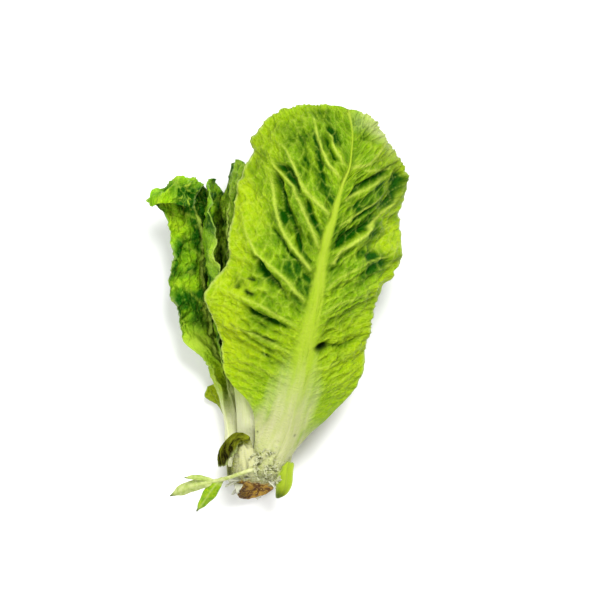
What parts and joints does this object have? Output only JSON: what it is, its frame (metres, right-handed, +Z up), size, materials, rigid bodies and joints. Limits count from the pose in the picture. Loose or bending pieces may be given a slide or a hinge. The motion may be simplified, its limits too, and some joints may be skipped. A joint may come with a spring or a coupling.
{
  "type": "romaine lettuce head",
  "caption": "Cut romaine lettuce head lying on its back: layered, waved leaves round a short stem, one large leaf on top and a small side shoot.",
  "frame": {"origin": "on the surface that the head lies on, under the middle of its box", "axes": "+Y from the cut stem to the leaf tips, +X across the head, +Z up from the surface"},
  "size_m": [0.1572, 0.2498, 0.0818],
  "materials": {
    "stem": "matte",
    "top_leaf": "satin",
    "dark_leaf": "satin",
    "outer_leaf": "satin",
    "middle_leaf": "satin",
    "inner_leaf": "satin",
    "heart_leaf": "satin",
    "wilted_leaf": "matte",
    "side_shoot": "satin"
  },
  "bodies": {
    "root": {"stem": "stem", "front_leaf": "top_leaf", "left_leaf": "dark_leaf", "left_back_leaf": "dark_leaf", "edge_leaf": "middle_leaf", "right_leaf": "outer_leaf", "under_leaf": "outer_leaf", "middle_leaf_1": "middle_leaf", "middle_leaf_2": "middle_leaf", "middle_leaf_3": "middle_leaf", "second_middle_leaf_1": "middle_leaf", "second_middle_leaf_2": "middle_leaf", "second_middle_leaf_3": "middle_leaf", "inner_leaf_1": "inner_leaf", "inner_leaf_2": "inner_leaf", "inner_leaf_3": "inner_leaf", "heart_leaf_1": "inner_leaf", "heart_leaf_2": "inner_leaf", "centre_leaf_1": "heart_leaf", "centre_leaf_2": "heart_leaf", "small_left_leaf": "outer_leaf", "wilted_leaf": "wilted_leaf", "low_right_leaf": "top_leaf", "side_shoot": "side_shoot"}
  },
  "joints": []
}
